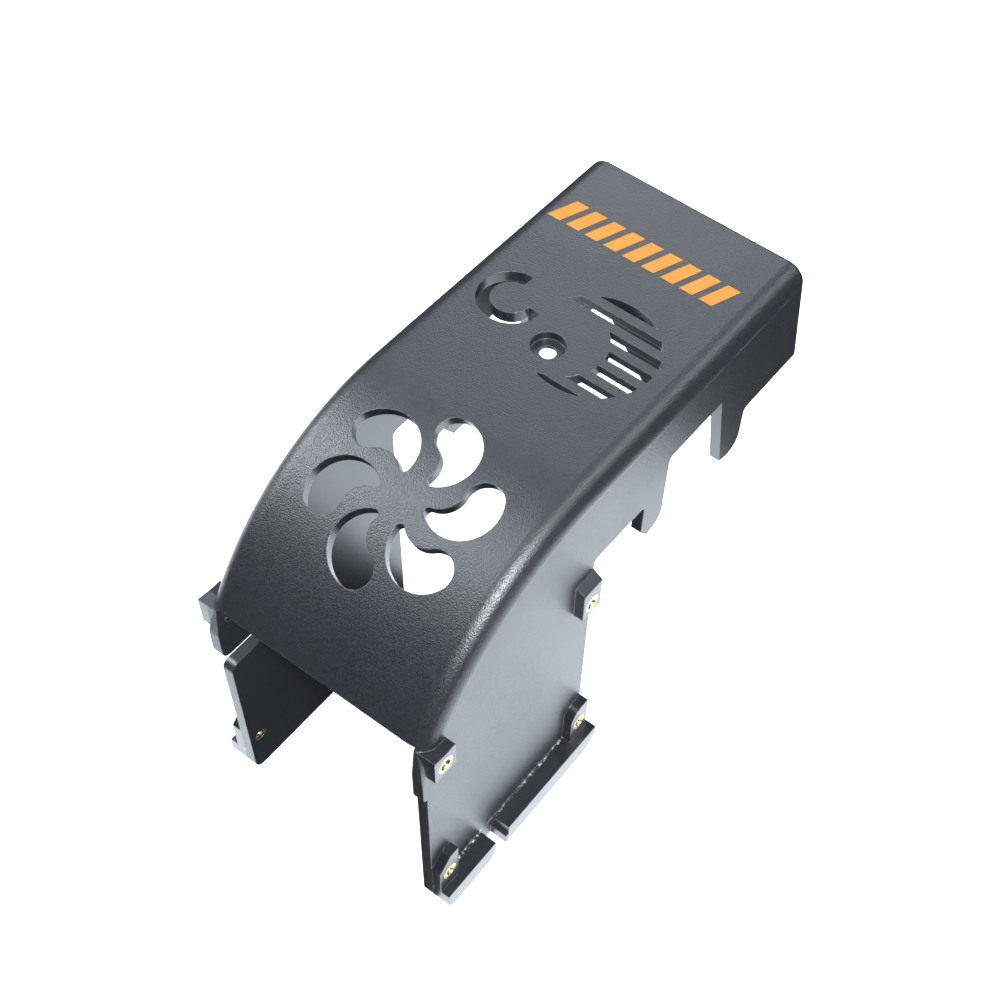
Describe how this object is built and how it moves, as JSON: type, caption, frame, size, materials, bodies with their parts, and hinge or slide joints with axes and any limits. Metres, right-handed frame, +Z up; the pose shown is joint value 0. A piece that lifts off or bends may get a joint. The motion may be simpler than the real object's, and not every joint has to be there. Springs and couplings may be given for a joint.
{
  "type": "hotend cover shell",
  "caption": "Empty moulded black hotend cover with a petal fan opening, a round slotted vent, hooked side walls and brass threaded inserts.",
  "frame": {"origin": "bottom centre of the whole part's box, between the foot flanges", "axes": "+Z up out of the flat top skin, -Y towards the curved nose, +X out of the right wall"},
  "size_m": [0.0732, 0.152, 0.1101],
  "materials": {
    "moulded_plastic": "fine grain, satin",
    "insert_brass": "turned and knurled",
    "print_ink": "screen-printed ink"
  },
  "bodies": {
    "root": {"cover_shell": "moulded_plastic", "insert_right_front_upper": "insert_brass", "insert_right_front_lower": "insert_brass", "insert_right_rear_upper": "insert_brass", "insert_right_rear_lower": "insert_brass", "insert_left_front_upper": "insert_brass", "insert_left_front_lower": "insert_brass", "insert_left_rear_upper": "insert_brass", "insert_left_rear_lower": "insert_brass", "top_graphic": "print_ink"}
  },
  "joints": []
}
